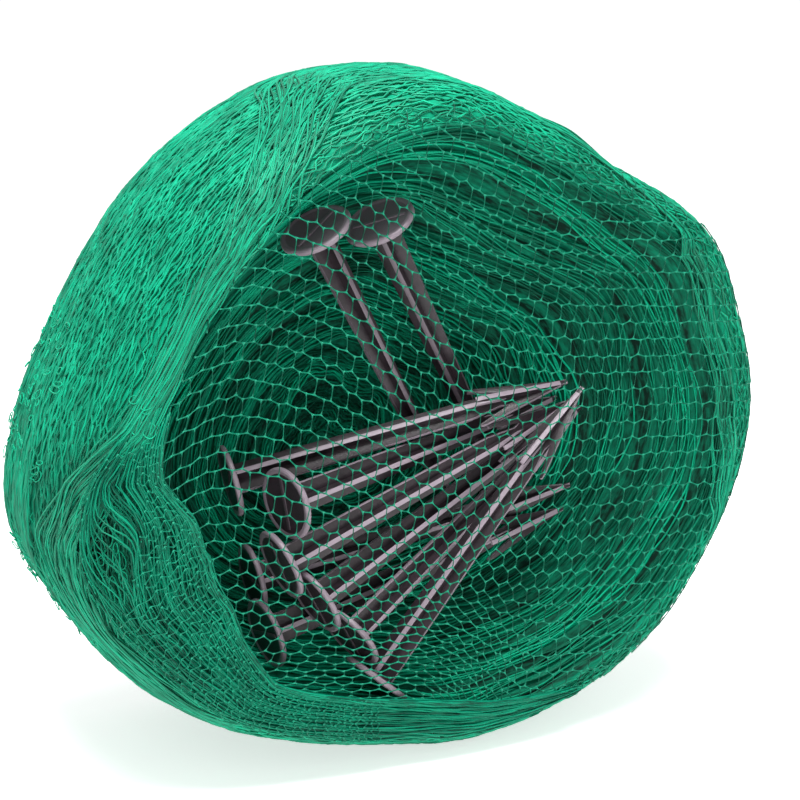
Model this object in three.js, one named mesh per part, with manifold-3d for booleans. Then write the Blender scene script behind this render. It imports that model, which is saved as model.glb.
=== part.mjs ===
// A roll of green pond netting, standing on its wound side. Its ten ground pegs lie in the hollow of one end.
// Millimetres, +Z up. The roll's axis runs along Y and the end that holds the pegs faces -Y.
// The origin is on the floor, under the middle of the roll.
import * as THREE from "three";
import { mergeVertices } from "three/addons/utils/BufferGeometryUtils.js";
import Module from "manifold-3d";

const wasm = await Module();
wasm.setup();

const { abs, cos, exp, floor, hypot, max, min, PI, sign, sin } = Math;
const { clamp, degToRad, lerp, smoothstep } = THREE.MathUtils;

// Driving sizes of the wound net
const ROLL_WIDTH = 130; // along the axis, end face to end face
const FRONT = -ROLL_WIDTH / 2; // the plane of the rim's crest at the peg end
const RIM_ROUND = 20; // how far the rounding of each rim reaches in from the side
const RIM_POWER = 2.4; // 2 would be a half ellipse, higher is squarer
const ROLL_CENTRE = { x: 7.6, y: 2.4, z: 140 }; // the axis of the wound turns, half way along
const AROUND = 60; // steps round the roll

// How far the roll reaches from its axis. Angles run from +X towards +Z, seen from the peg end.
const REACH = [
  { angle: 0, reach: 151 },
  { angle: 15, reach: 148 },
  { angle: 30, reach: 147 },
  { angle: 45, reach: 136 },
  { angle: 60, reach: 131 },
  { angle: 75, reach: 134 },
  { angle: 90, reach: 142 },
  { angle: 105, reach: 145 },
  { angle: 120, reach: 144 },
  { angle: 135, reach: 144 },
  { angle: 150, reach: 145 },
  { angle: 165, reach: 150 },
  { angle: 180, reach: 161 },
  { angle: 195, reach: 171 },
  { angle: 210, reach: 167 },
  { angle: 225, reach: 161 },
  { angle: 240, reach: 150 },
  { angle: 255, reach: 143 },
  { angle: 270, reach: 143 },
  { angle: 285, reach: 143 },
  { angle: 300, reach: 145 },
  { angle: 315, reach: 147 },
  { angle: 330, reach: 147 },
  { angle: 345, reach: 150 },
];

// The pocket for the pegs. A high fall keeps it deep until close to the crest, which makes a steep wall.
const POCKET_CENTRE = { x: -30, z: -24 }; // from the axis
const POCKET_DEPTH = 84;
const POCKET_WALLS = [
  { towards: 0, fall: 2.3, ease: 1.3 },
  { towards: 90, fall: 3.8, ease: 1.1 },
  { towards: 180, fall: 7, ease: 1.05 },
  { towards: 270, fall: 5.2, ease: 1.05 },
];
const BACK_DIMPLE = 16; // depth of the hollow in the plain end

// The wound turns, as soft ridges that run round each end in a spiral
const POCKET_TURNS = { count: 6, height: 1.6, rings: 26 };
const BACK_TURNS = { count: 3, height: 1.4, rings: 10 };
const SIDE_RINGS = 12;
const SIDE_LAYERS = { count: 4, height: 0.7 }; // soft layer edges across the outer side

// The slack outer turn at the upper right, and the furrow that parts it from the rest
const SLACK = { from: 6, to: 66, depth: 5, width: 5 };
const SLACK_THICK = { low: 26, high: 1 }; // of the slack turn, where it starts and where it ends
// The pinch at the lower left, where the end of the net is crimped on to the side
const PINCH = { angle: 211, y: 24, depth: 6, along: 14, round: 12 };

// The single layer of net drawn over the pegs
const NET_THICK = 1.2;
const SEAT = 0.5; // gap between pieces that lie on each other
const NET_SAG = { depth: 4, from: 7, to: 40 }; // how far it hangs in over the pocket, inside the crest
const NET_BORDER = { outside: 3, inside: 9 }; // solid edge on both sides of the crest
const NET_BAR = 2.0; // width of a strand at this scale
const CELL = { along: 13.4, across: 14.4 }; // twice the real mesh, which is 6.7 by 7.2
const CELL_TURN = degToRad(-12); // the rows of cells run downhill to the right
const BORDER_STEPS = 48;

// The doubled edge of that layer, turned over at the lower left
const FOLD = { from: 172, to: 292, thick: 2.4, steps: 24, across: 8, outside: 16, clear: 1.1 };
// How far the turned edge reaches in from the crest
const FOLD_REACH = [
  { angle: 172, reach: 2 },
  { angle: 182, reach: 4 },
  { angle: 197, reach: 27 },
  { angle: 208, reach: 25 },
  { angle: 225, reach: 12 },
  { angle: 268, reach: 9 },
  { angle: 292, reach: 2 },
];

// The ground pegs
const PEG = { length: 150, head: 15, headThick: 2.6, edge: 0.9, fin: 1.9, sides: 16 };
// Half outline of a fin, from under the head to the point. The barb stands out behind the point.
const FIN_OUTLINE = [
  { along: 1.4, half: 6.4 },
  { along: 112, half: 4.6 },
  { along: 124, half: 2.8 },
  { along: 116, half: 5.8 },
  { along: 117.5, half: 6.8 },
  { along: 150, half: 0.6 },
];
// Middle of each head and the point, from the roll's axis, and the turn of the fins about the shank
const PEGS = [
  { head: [-59.5, -40.5, 82.5], point: [18.5, -12, -42.5], turn: 23 },
  { head: [-29, -36, 83.5], point: [48.5, -4.5, -41], turn: 81 },
  { head: [-88, -16.5, -22], point: [55.5, -46, 11], turn: 37 },
  { head: [-76.5, -46, -26], point: [68.5, -16.5, -2.5], turn: 9 },
  { head: [-78.5, -44.5, -51.5], point: [61.5, -41, 1.5], turn: 0 },
  { head: [-75.5, -9, -67], point: [71.5, -24.5, -40.5], turn: 86 },
  { head: [-78, -28, -85], point: [68, -24, -51], turn: 80 },
  { head: [-63.5, -44.5, -69], point: [70.5, -29.5, -3.5], turn: 0 },
  { head: [-48.5, -46.5, -86], point: [76.5, -24, -6], turn: 14 },
  { head: [-38, -49.5, -105], point: [59, -52.5, 9.5], turn: 40 },
];

// A table's column at any angle, as a smooth closed curve through rows at even angles
const around = (table, column, angle) => {
  const count = table.length;
  const place = (((angle / 360) * count) % count + count) % count;
  const first = floor(place);
  const t = place - first;
  const value = (offset) => table[(first + offset + count) % count][column];
  const [a, b, c, d] = [value(-1), value(0), value(1), value(2)];
  return b + 0.5 * t * (c - a + t * (2 * a - 5 * b + 4 * c - d + t * (3 * b - a - 3 * c + d)));
};

// A table's column at any angle between its first row and its last
const along = (table, column, angle) => {
  const next = max(1, table.findIndex((row) => row.angle >= angle));
  const [low, high] = [table[next - 1], table[next]];
  return lerp(low[column], high[column], smoothstep(angle, low.angle, high.angle));
};

const reachAt = (angle) => around(REACH, "reach", angle);
const crestAt = (angle) => reachAt(angle) - RIM_ROUND;
const angleOf = (x, z) => (THREE.MathUtils.radToDeg(Math.atan2(z, x)) + 360) % 360;
const bell = (distance, width) => exp(-((distance / width) ** 2));

// A closed skin from rings of points, capped by a point at each end. The rings run counter-clockwise, seen
// from the first point.
function skin(firstPoint, rings, lastPoint) {
  const count = rings[0].length;
  const points = [firstPoint, ...rings.flat(), lastPoint];
  const last = points.length - 1;
  const at = (ring, i) => 1 + ring * count + (i % count);
  const faces = [];
  for (let i = 0; i < count; i += 1) {
    faces.push(0, at(0, i), at(0, i + 1));
    faces.push(last, at(rings.length - 1, i + 1), at(rings.length - 1, i));
    for (let ring = 0; ring + 1 < rings.length; ring += 1) {
      const [a, b, c, d] = [at(ring, i), at(ring + 1, i), at(ring + 1, i + 1), at(ring, i + 1)];
      faces.push(a, b, c, a, c, d);
    }
  }
  const geometry = new THREE.BufferGeometry().setFromPoints(points);
  geometry.setIndex(faces);
  return geometry;
}

// Slack furrow and pinch, as the depth that they take off the surface
function dents(angle, reach, y) {
  const t = (angle - SLACK.from) / (SLACK.to - SLACK.from);
  const furrow = reachAt(angle) - lerp(SLACK_THICK.low, SLACK_THICK.high, clamp(t, 0, 1));
  const shown = t > 0 && t < 1 ? min(1, 5 * min(t, 1 - t)) : 0;
  const slack = y < 0 ? SLACK.depth * shown * bell(reach - furrow, SLACK.width) : 0;
  return slack + PINCH.depth * bell(angle - PINCH.angle, PINCH.round) * bell(y - PINCH.y, PINCH.along);
}

// The pocket's surface, a share of the way from its middle to the crest
function pocketPoint(angle, share) {
  const crest = crestAt(angle);
  const rim = { x: crest * cos(degToRad(angle)), z: crest * sin(degToRad(angle)) };
  const x = lerp(POCKET_CENTRE.x, rim.x, share);
  const z = lerp(POCKET_CENTRE.z, rim.z, share);
  const towards = angleOf(rim.x - POCKET_CENTRE.x, rim.z - POCKET_CENTRE.z);
  const fall = around(POCKET_WALLS, "fall", towards);
  const ease = around(POCKET_WALLS, "ease", towards);
  const depth = POCKET_DEPTH * (1 - share ** fall) ** ease;
  const ridge = cos(2 * PI * POCKET_TURNS.count * share - degToRad(angle));
  const fade = smoothstep(share, 0, 0.2) * smoothstep(1 - share, 0, 0.1);
  const dent = dents(angle, hypot(x, z), FRONT) * smoothstep(share, 0.5, 0.9);
  return new THREE.Vector3(x, FRONT + depth + dent - POCKET_TURNS.height * ridge * fade, z);
}

// The rim and the outer side, from 0 at the front crest to 1 at the back one
function sidePoint(angle, share) {
  const turn = PI * (share - 0.5);
  const bulge = cos(turn) ** (2 / RIM_POWER);
  const y = -FRONT * sign(sin(turn)) * abs(sin(turn)) ** (2 / RIM_POWER);
  const layers = SIDE_LAYERS.height * cos(2 * PI * SIDE_LAYERS.count * share) * bulge ** 6;
  const reach = crestAt(angle) + RIM_ROUND * bulge;
  const dent = dents(angle, reach, y);
  const pressed = reach + layers - dent * bulge;
  const sunk = y - dent * (1 - bulge) * sign(y);
  return new THREE.Vector3(pressed * cos(degToRad(angle)), sunk, pressed * sin(degToRad(angle)));
}

// The plain end, from its middle to its crest
function backPoint(angle, share) {
  const ridge = cos(2 * PI * BACK_TURNS.count * share - degToRad(angle));
  const fade = smoothstep(share, 0, 0.2) * smoothstep(1 - share, 0, 0.1);
  const reach = crestAt(angle) * share;
  const y = -FRONT - BACK_DIMPLE * (1 - share ** 2.5) + BACK_TURNS.height * ridge * fade;
  return new THREE.Vector3(reach * cos(degToRad(angle)), y, reach * sin(degToRad(angle)));
}

function woundRoll() {
  const ring = (place, share) => Array.from({ length: AROUND }, (_, i) => place((i * 360) / AROUND, share));
  const rings = [];
  for (let i = 1; i <= POCKET_TURNS.rings; i += 1) rings.push(ring(pocketPoint, i / POCKET_TURNS.rings));
  for (let i = 1; i < SIDE_RINGS; i += 1) rings.push(ring(sidePoint, i / SIDE_RINGS));
  for (let i = BACK_TURNS.rings; i > 0; i -= 1) rings.push(ring(backPoint, i / BACK_TURNS.rings));
  // The roll's own weight presses a small flat on it, where it rests
  for (const point of rings.flat()) point.z = max(point.z, -ROLL_CENTRE.z);
  return skin(pocketPoint(0, 0), rings, backPoint(0, 0));
}

// Middle of the drawn layer, which is flat at the crest and hangs in a little over the pocket
const NET_MIDDLE = FRONT - SEAT - NET_THICK / 2;
const insideCrest = (x, z) => crestAt(angleOf(x, z)) - hypot(x, z);
const netSag = (x, z) => NET_SAG.depth * smoothstep(insideCrest(x, z), NET_SAG.from, NET_SAG.to);

// One six-sided opening, which a strand parts from the next
function cellHole(x, z) {
  const half = CELL.along / 2 - NET_BAR / 2;
  const tall = CELL.across * 0.64 - NET_BAR * 0.55;
  const short = CELL.across * 0.36 - NET_BAR * 0.3;
  const corners = [[0, tall], [-half, short], [-half, -short], [0, -tall], [half, -short], [half, short]];
  const middle = new THREE.Vector2(x, z);
  const turned = corners.map(([a, b]) => new THREE.Vector2(x + a, z + b).rotateAround(middle, CELL_TURN));
  return new THREE.Path(turned);
}

function coverNet() {
  const edge = Array.from({ length: BORDER_STEPS }, (_, i) => {
    const angle = (i * 360) / BORDER_STEPS;
    const reach = crestAt(angle) + NET_BORDER.outside;
    return new THREE.Vector2(reach * cos(degToRad(angle)), reach * sin(degToRad(angle)));
  });
  const shape = new THREE.Shape(edge);
  const axis = new THREE.Vector2();
  const rows = Math.ceil(max(...edge.map((point) => point.length())) / CELL.across);
  for (let row = -rows; row <= rows; row += 1) {
    for (let column = -rows - 1; column <= rows + 1; column += 1) {
      const shift = row % 2 === 0 ? 0 : 0.5;
      const place = new THREE.Vector2((column + shift) * CELL.along, row * CELL.across);
      place.rotateAround(axis, CELL_TURN);
      if (insideCrest(place.x, place.y) > NET_BORDER.inside) shape.holes.push(cellHole(place.x, place.y));
    }
  }
  const geometry = new THREE.ExtrudeGeometry(shape, { depth: NET_THICK, bevelEnabled: false });
  geometry.rotateX(PI / 2);
  const position = geometry.attributes.position;
  for (let i = 0; i < position.count; i += 1) {
    const [x, y, z] = [position.getX(i), position.getY(i), position.getZ(i)];
    position.setY(i, NET_MIDDLE + NET_THICK / 2 + y + netSag(x, z));
  }
  return geometry;
}

// A point of the turned fold. Across runs from the inner edge to the outer one, and side is 1 on the
// face that shows.
function foldPoint(share, across, side) {
  const angle = lerp(FOLD.from, FOLD.to, share);
  const inner = -along(FOLD_REACH, "reach", angle);
  const outer = lerp(NET_BORDER.outside + 1, FOLD.outside, sin(PI * share));
  const offset = lerp(inner, outer, across);
  const onRim = clamp(offset / RIM_ROUND, 0, 1);
  const y = FRONT * (1 - onRim ** RIM_POWER) ** (1 / RIM_POWER);
  // The rim's normal leans from straight ahead at the crest towards the outer side
  const outward = -FRONT * onRim ** (RIM_POWER - 1);
  const forward = RIM_ROUND * (y / FRONT) ** (RIM_POWER - 1);
  const lean = Math.atan2(forward, outward);
  const underNet = 1 - smoothstep(offset, NET_BORDER.outside + 1, FOLD.outside);
  const clear = FOLD.clear + (NET_THICK + SEAT) * underNet + (FOLD.thick * (1 + side)) / 2;
  const reach = crestAt(angle) + offset + clear * cos(lean);
  const x = reach * cos(degToRad(angle));
  const z = reach * sin(degToRad(angle));
  const sag = offset < 0 ? netSag(x, z) : 0;
  return new THREE.Vector3(x, y - clear * sin(lean) + sag, z);
}

// The fold is a skin whose rings are its sections, from one end of the arc to the other
function turnedFold() {
  const rings = [];
  for (let i = 0; i <= FOLD.steps; i += 1) {
    const ring = [];
    for (let k = 0; k <= FOLD.across; k += 1) ring.push(foldPoint(i / FOLD.steps, k / FOLD.across, -1));
    for (let k = FOLD.across; k >= 0; k -= 1) ring.push(foldPoint(i / FOLD.steps, k / FOLD.across, 1));
    rings.push(ring);
  }
  const middle = (ring) => {
    const sum = ring.reduce((total, point) => total.add(point), new THREE.Vector3());
    return sum.divideScalar(ring.length);
  };
  return skin(middle(rings[0]), rings, middle(rings[rings.length - 1]));
}

function toManifold(geometry) {
  const bare = geometry.clone();
  bare.deleteAttribute("normal");
  bare.deleteAttribute("uv");
  const merged = mergeVertices(bare);
  const vertProperties = merged.attributes.position.array;
  const triVerts = Uint32Array.from(merged.index.array);
  return new wasm.Manifold(new wasm.Mesh({ numProp: 3, vertProperties, triVerts }));
}

function fromManifold(solid) {
  const { vertProperties, triVerts } = solid.getMesh();
  const geometry = new THREE.BufferGeometry();
  geometry.setAttribute("position", new THREE.BufferAttribute(vertProperties, 3));
  geometry.setIndex(new THREE.BufferAttribute(triVerts, 1));
  return geometry;
}

// A peg with its head's top face at the origin and its point on +Z
function groundPeg() {
  const { head, headThick, edge, sides } = PEG;
  const inner = head - edge;
  const low = headThick - edge;
  const profile = [[0, 0], [inner, 0], [head, edge], [head, low], [inner, headThick], [0, headThick]];
  const disc = new THREE.LatheGeometry(profile.map(([x, y]) => new THREE.Vector2(x, y)), sides);
  disc.rotateX(PI / 2);
  const half = FIN_OUTLINE.map((row) => new THREE.Vector2(row.half, row.along));
  const mirrored = half.map((point) => new THREE.Vector2(-point.x, point.y)).reverse();
  const outline = new THREE.Shape([...half, ...mirrored]);
  const fin = new THREE.ExtrudeGeometry(outline, { depth: PEG.fin, bevelEnabled: false });
  fin.translate(0, 0, -PEG.fin / 2);
  fin.rotateX(PI / 2);
  const crossFin = fin.clone().rotateZ(PI / 2);
  const solid = toManifold(disc).add(toManifold(fin)).add(toManifold(crossFin));
  return fromManifold(solid);
}

const netGreen = new THREE.MeshStandardMaterial({ color: 0x0a9468, roughness: 0.65, metalness: 0 });
const coverGreen = new THREE.MeshStandardMaterial({ color: 0x1fa37a, roughness: 0.6, metalness: 0 });
const pegPlastic = new THREE.MeshStandardMaterial({ color: 0x3f353f, roughness: 0.45, metalness: 0 });

function piece(name, geometry, material) {
  const mesh = new THREE.Mesh(geometry, material);
  mesh.name = name;
  return mesh;
}

// Everything below is placed from the axis of the wound turns
const roll = new THREE.Group();
roll.position.set(ROLL_CENTRE.x, ROLL_CENTRE.y, ROLL_CENTRE.z);
roll.add(piece("wound_roll", woundRoll(), netGreen));
roll.add(piece("cover_net", coverNet(), coverGreen));
roll.add(piece("turned_fold", turnedFold(), coverGreen));

const pegShape = groundPeg();
PEGS.forEach(({ head, point, turn }, i) => {
  const peg = piece(`peg_${String(i + 1).padStart(2, "0")}`, pegShape, pegPlastic);
  const top = new THREE.Vector3(...head);
  const shank = new THREE.Vector3(...point).sub(top).normalize();
  peg.position.copy(top);
  peg.quaternion.setFromUnitVectors(new THREE.Vector3(0, 0, 1), shank);
  peg.rotateZ(degToRad(turn));
  roll.add(peg);
});

const netting = new THREE.Group();
netting.add(roll);
export default netting;
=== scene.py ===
from math import cos, pi, radians, sin

import bpy
import numpy as np
from mathutils import Matrix, Vector


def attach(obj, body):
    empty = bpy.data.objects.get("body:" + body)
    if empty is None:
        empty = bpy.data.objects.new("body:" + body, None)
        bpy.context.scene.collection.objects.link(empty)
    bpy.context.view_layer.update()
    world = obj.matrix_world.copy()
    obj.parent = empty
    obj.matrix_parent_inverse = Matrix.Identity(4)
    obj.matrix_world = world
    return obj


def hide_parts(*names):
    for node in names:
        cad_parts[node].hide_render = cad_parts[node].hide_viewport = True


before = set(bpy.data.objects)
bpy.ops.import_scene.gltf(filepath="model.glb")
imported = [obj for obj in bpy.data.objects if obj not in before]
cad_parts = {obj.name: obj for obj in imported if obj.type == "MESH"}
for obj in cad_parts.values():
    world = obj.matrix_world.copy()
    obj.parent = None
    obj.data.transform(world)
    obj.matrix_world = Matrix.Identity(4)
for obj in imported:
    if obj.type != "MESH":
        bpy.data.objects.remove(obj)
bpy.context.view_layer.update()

# The studio. A white floor and white surroundings, a large soft light high up on the left and a weaker, lower
# one in front. The camera stands a little above the roll, to the left of its peg end.
ROLL_AXIS = np.array([0.0076, 0.0024, 0.140])  # half way along the roll
CAMERA = {"turn": radians(-28), "rise": radians(12), "away": 0.9, "lens": 94.2}
SURROUNDINGS = {"seen": 1.05, "lighting": 0.45}
FLOOR = {"reach": 4, "mottle": 3, "glow": 0.62}
scene = bpy.context.scene
scene.view_settings.view_transform = "Standard"


def towards(turn, rise):
    """A unit vector that leans by turn from straight ahead of the peg end, and by rise above the floor."""
    return Vector((sin(turn) * cos(rise), -cos(turn) * cos(rise), sin(rise)))


camera_data = bpy.data.cameras.new("camera")
camera_data.lens = CAMERA["lens"]
camera = bpy.data.objects.new("camera", camera_data)
camera_back = towards(CAMERA["turn"], CAMERA["rise"])
camera.location = Vector(ROLL_AXIS) + camera_back * CAMERA["away"]
camera.rotation_euler = camera_back.to_track_quat("Z", "Y").to_euler()
scene.collection.objects.link(camera)
scene.camera = camera


def soft_light(name, turn, rise, away, size, power):
    """A square area light that faces the roll's axis."""
    data = bpy.data.lights.new(name, "AREA")
    data.size = size
    data.energy = power
    light = bpy.data.objects.new(name, data)
    back = towards(radians(turn), radians(rise))
    light.location = Vector(ROLL_AXIS) + back * away
    light.rotation_euler = back.to_track_quat("Z", "Y").to_euler()
    scene.collection.objects.link(light)


soft_light("key_light", turn=-22, rise=70, away=1.3, size=0.7, power=38)
soft_light("fill_light", turn=-10, rise=20, away=1.6, size=1.0, power=5)
world = bpy.data.worlds.new("white_room")
world.use_nodes = True
room = world.node_tree
seen, lighting = room.nodes["Background"], room.nodes.new("ShaderNodeBackground")
seen.inputs["Color"].default_value = (1, 1, 1, 1)
seen.inputs["Strength"].default_value = SURROUNDINGS["seen"]
lighting.inputs["Color"].default_value = (1, 1, 1, 1)
lighting.inputs["Strength"].default_value = SURROUNDINGS["lighting"]
by_ray = room.nodes.new("ShaderNodeMixShader")
room.links.new(room.nodes.new("ShaderNodeLightPath").outputs["Is Camera Ray"], by_ray.inputs["Fac"])
room.links.new(lighting.outputs["Background"], by_ray.inputs[1])
room.links.new(seen.outputs["Background"], by_ray.inputs[2])
room.links.new(by_ray.outputs["Shader"], room.nodes["World Output"].inputs["Surface"])
scene.world = world


def new_material(name, **constants):
    """A material with its Principled shader, whose constants are set on the shader's own sockets."""
    material = bpy.data.materials.new(name)
    material.use_nodes = True
    shader = material.node_tree.nodes["Principled BSDF"]
    for socket, value in constants.items():
        shader.inputs[socket.replace("_", " ")].default_value = value
    return material, material.node_tree, shader


floor_white, tree, shader = new_material(
    "floor_white", Roughness=0.8, Emission_Color=(1, 1, 1, 1), Emission_Strength=FLOOR["glow"])
mottle = tree.nodes.new("ShaderNodeTexNoise")
mottle.inputs["Scale"].default_value = FLOOR["mottle"]
paper = tree.nodes.new("ShaderNodeMix")
paper.data_type = "RGBA"
paper.inputs["A"].default_value = (0.93, 0.93, 0.93, 1)
paper.inputs["B"].default_value = (0.97, 0.97, 0.97, 1)
tree.links.new(mottle.outputs["Fac"], paper.inputs["Factor"])
tree.links.new(paper.outputs["Result"], shader.inputs["Base Color"])
floor_mesh = bpy.data.meshes.new("floor")
floor_corners = [(x * FLOOR["reach"], y * FLOOR["reach"], 0) for x, y in ((-1, -1), (1, -1), (1, 1), (-1, 1))]
floor_mesh.from_pydata(floor_corners, [], [(0, 1, 2, 3)])
floor_mesh.materials.append(floor_white)
floor = bpy.data.objects.new("floor", floor_mesh)
scene.collection.objects.link(floor)

# The wound net. Hundreds of turns of green knotted polyethylene net, rolled up on themselves. This piece is
# the mass of the turns under the ones that show: the solid's form, a little sunk, with painted shade between
# bundles.
MM = 0.001
ROLL_WIDTH = 130
FRONT = -ROLL_WIDTH / 2
RIM = {"round": 20, "power": 2.4}
REACH = [151, 148, 147, 136, 131, 134, 142, 145, 144, 144, 145, 150, 161, 171, 167, 161, 150, 143, 143, 143,
         145, 147, 147, 150]  # from the axis, every 15 degrees from +X towards +Z
POCKET = {"x": -30, "z": -24, "depth": 84}
POCKET_FALL = [2.3, 3.8, 7, 5.2]  # towards 0, 90, 180 and 270 degrees, seen from the pocket's middle
POCKET_EASE = [1.3, 1.1, 1.05, 1.05]  # towards the same four
POCKET_TURNS = {"count": 6, "height": 1.6}
BACK = {"dimple": 16, "power": 2.5, "turns": 3, "height": 1.4}
RIDGE_FADE = {"middle": 0.2, "crest": 0.1}  # shares of an end over which its spiral ridge rises
DENT_FADE = {"from": 0.5, "to": 0.9}  # shares of the pocket's wall
SIDE_LAYERS = {"count": 4, "height": 0.7}
SLACK = {"from": 6, "to": 66, "fade": 5, "depth": 5, "width": 5, "low": 26, "high": 1}
PINCH = {"angle": 211, "y": 24, "depth": 6, "along": 14, "round": 12}
HOLLOW = {"angle": 190, "past": 10, "depth": 9, "along": 8, "round": 9}  # under the turned fold


def around(rows, angle):
    """A smooth closed curve through rows at even angles: a Catmull-Rom spline, read at angles in degrees."""
    rows = np.asarray(rows, float)
    place = (np.asarray(angle, float) / 360 * len(rows)) % len(rows)
    first = np.floor(place).astype(int)
    t = place - first
    a, b, c, d = (rows[(first + step) % len(rows)] for step in (-1, 0, 1, 2))
    return b + 0.5 * t * (c - a + t * (2 * a - 5 * b + 4 * c - d + t * (3 * b - a - 3 * c + d)))


def ease(value, low, high):
    """0 below low, 1 above high, and three t squared less two t cubed between."""
    t = np.clip((value - low) / (high - low), 0, 1)
    return t * t * (3 - 2 * t)


def bell(distance, width):
    """1 at no distance, falling as e to the minus square of distance over width."""
    return np.exp(-((distance / width) ** 2))


def crest_at(angle):
    """How far from the axis the rim stands furthest forward: the roll's reach less the rim's rounding."""
    return around(REACH, angle) - RIM["round"]


def in_hollow(angle, past, y):
    """1 in the middle of the hollow under the fold, falling as a bell round the roll and across it."""
    from_middle = bell(angle - HOLLOW["angle"], HOLLOW["round"])
    return from_middle * bell(past - HOLLOW["past"], HOLLOW["along"]) * (y < 0)


def dents(angle, reach, y):
    """Depth of the furrow beside the slack outer turn, which fades at both its ends, of the pinch, and of the
    hollow under the fold. The last two are bells round a place."""
    t = (angle - SLACK["from"]) / (SLACK["to"] - SLACK["from"])
    from_outside = SLACK["low"] + (SLACK["high"] - SLACK["low"]) * np.clip(t, 0, 1)
    furrow = around(REACH, angle) - from_outside
    shown = np.clip(SLACK["fade"] * np.minimum(t, 1 - t), 0, 1) * (y < 0)
    pinch = bell(angle - PINCH["angle"], PINCH["round"]) * bell(y - PINCH["y"], PINCH["along"])
    hollow = in_hollow(angle, reach - crest_at(angle), y)
    furrow_depth = SLACK["depth"] * shown * bell(reach - furrow, SLACK["width"])
    return furrow_depth + PINCH["depth"] * pinch + HOLLOW["depth"] * hollow


def polar(reach, y, angle):
    """Points at a reach from the axis, in the direction of an angle in degrees."""
    turn = np.radians(angle)
    return np.stack(np.broadcast_arrays(reach * np.cos(turn), y, reach * np.sin(turn)), -1)


def pocket_surface(angle, share):
    """A share of the way from the pocket's middle to the crest. The depth is the pocket's own, times one less
    the share to the power fall, all to the power ease, which makes the wall steep where fall is high."""
    crest = polar(crest_at(angle), FRONT, angle)
    x = POCKET["x"] + (crest[..., 0] - POCKET["x"]) * share
    z = POCKET["z"] + (crest[..., 2] - POCKET["z"]) * share
    way = np.degrees(np.arctan2(crest[..., 2] - POCKET["z"], crest[..., 0] - POCKET["x"]))
    depth = POCKET["depth"] * (1 - share ** around(POCKET_FALL, way)) ** around(POCKET_EASE, way)
    ridge = np.cos(2 * pi * POCKET_TURNS["count"] * share - np.radians(angle))
    fade = ease(share, 0, RIDGE_FADE["middle"]) * ease(1 - share, 0, RIDGE_FADE["crest"])
    dent = dents(angle, np.hypot(x, z), FRONT) * ease(share, DENT_FADE["from"], DENT_FADE["to"])
    return np.stack([x, FRONT + depth + dent - POCKET_TURNS["height"] * ridge * fade, z], -1)


def side_surface(angle, share):
    """The rims and the outer side, from the front crest at 0 to the back one at 1: half a superellipse. Its
    bulge and its place along the axis are the cosine and sine of a half turn, to the power two over the
    rim's. Soft layers lie on it, a cosine times the bulge to the power six, so the rims stay plain."""
    turn = pi * (share - 0.5)
    bulge = np.clip(np.cos(turn), 0, 1) ** (2 / RIM["power"])
    y = -FRONT * np.sign(np.sin(turn)) * np.abs(np.sin(turn)) ** (2 / RIM["power"])
    layers = SIDE_LAYERS["height"] * np.cos(2 * pi * SIDE_LAYERS["count"] * share) * bulge ** 6
    reach = crest_at(angle) + RIM["round"] * bulge
    dent = dents(angle, reach, y)
    return polar(reach + layers - dent * bulge, y - dent * (1 - bulge) * np.sign(y), angle)


def back_surface(angle, share):
    """The plain end, from its crest at 0 to its middle at 1: a dimple, as deep as one less the share out to
    its power, with a soft spiral ridge."""
    out = 1 - share
    ridge = np.cos(2 * pi * BACK["turns"] * out - np.radians(angle))
    fade = ease(out, 0, RIDGE_FADE["middle"]) * ease(1 - out, 0, RIDGE_FADE["crest"])
    y = -FRONT - BACK["dimple"] * (1 - out ** BACK["power"]) + BACK["height"] * ridge * fade
    return polar(crest_at(angle) * out, y, angle)


def roll_surface(angle, way):
    """The whole skin: the pocket from 0 to 1, the side from 1 to 2, and the plain end from 2 to 3."""
    angle, way = np.broadcast_arrays(np.asarray(angle, float) % 360, np.asarray(way, float))
    pocket = pocket_surface(angle, np.clip(way, 0, 1))
    side = side_surface(angle, np.clip(way - 1, 0, 1))
    back = back_surface(angle, np.clip(way - 2, 0, 1))
    points = np.where((way < 1)[..., None], pocket, np.where((way < 2)[..., None], side, back))
    points[..., 2] = np.maximum(points[..., 2], -ROLL_AXIS[2] / MM)
    return points


def unit(vectors):
    """Vectors divided by their lengths."""
    return vectors / np.maximum(np.linalg.norm(vectors, axis=-1, keepdims=True), 1e-9)


NORMAL_STEP = {"angle": 0.4, "way": 0.004}


def roll_normal(angle, way):
    """Straight out of the skin: the cross product of the steps across it and round it."""
    before, after = angle - NORMAL_STEP["angle"], angle + NORMAL_STEP["angle"]
    step_round = roll_surface(after, way) - roll_surface(before, way)
    inner, outer = np.maximum(way - NORMAL_STEP["way"], 0), np.minimum(way + NORMAL_STEP["way"], 3)
    step_across = roll_surface(angle, outer) - roll_surface(angle, inner)
    return unit(np.cross(step_across, step_round))


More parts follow.
